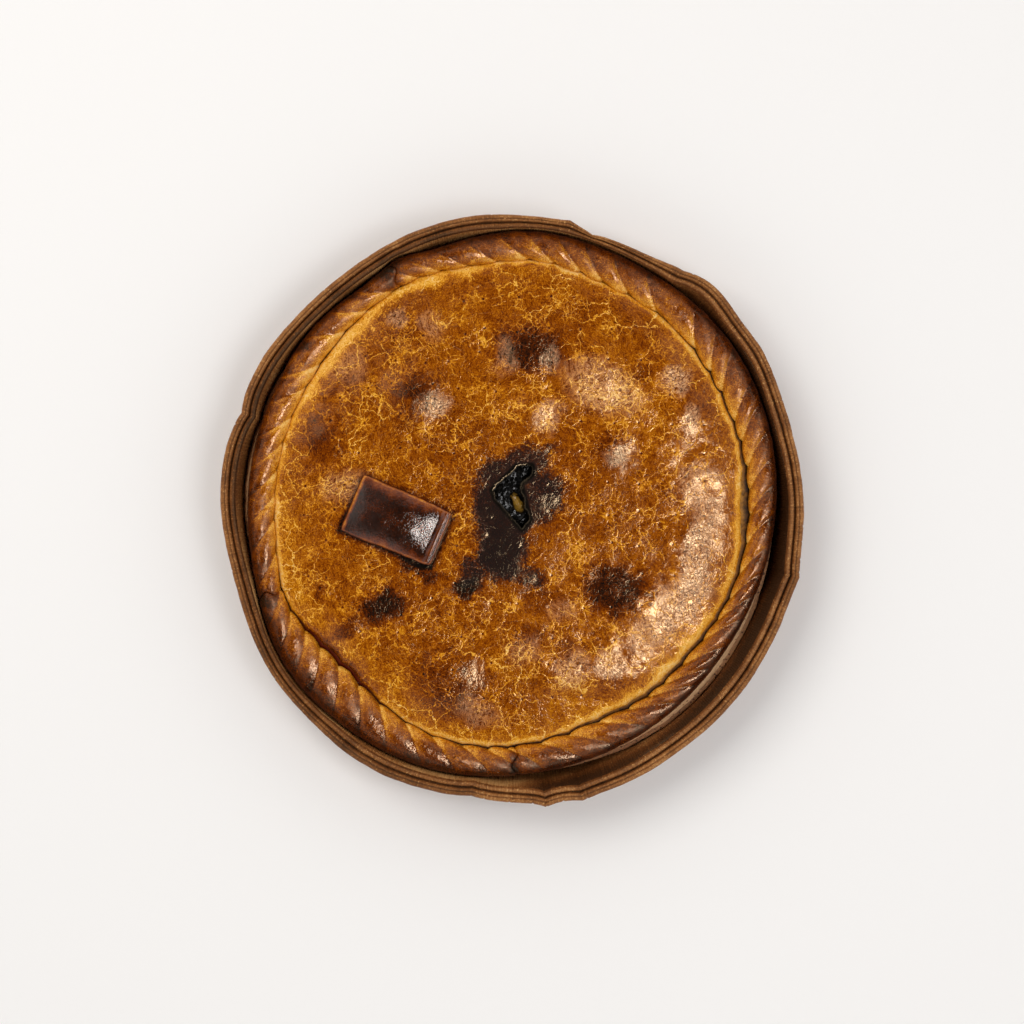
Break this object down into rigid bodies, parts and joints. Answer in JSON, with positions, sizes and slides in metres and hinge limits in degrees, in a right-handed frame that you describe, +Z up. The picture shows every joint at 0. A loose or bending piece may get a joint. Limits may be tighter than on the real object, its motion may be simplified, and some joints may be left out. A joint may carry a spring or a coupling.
{
  "type": "round savoury pie",
  "caption": "Round baked savoury pie with a twisted rope edge, a dough tag and a burnt steam vent, in its paper baking case.",
  "frame": {"origin": "on the flat base of the paper case, under the middle of the lid", "axes": "+Z up through the lid; +X to the right and +Y to the top of the picture, which looks straight down"},
  "size_m": [0.3223, 0.3279, 0.0381],
  "materials": {
    "kraft_paper": "matte, ribbed",
    "baked_crust": "egg-glazed, satin",
    "rope_crust": "egg-glazed, glossy",
    "dark_dough": "burnt glaze, glossy",
    "filling": "moist"
  },
  "bodies": {
    "root": {"paper_case": "kraft_paper", "crust": "baked_crust", "rope_right": "rope_crust", "rope_left": "rope_crust", "rope_lower": "rope_crust", "dough_tag": "dark_dough", "filling": "filling"}
  },
  "joints": []
}
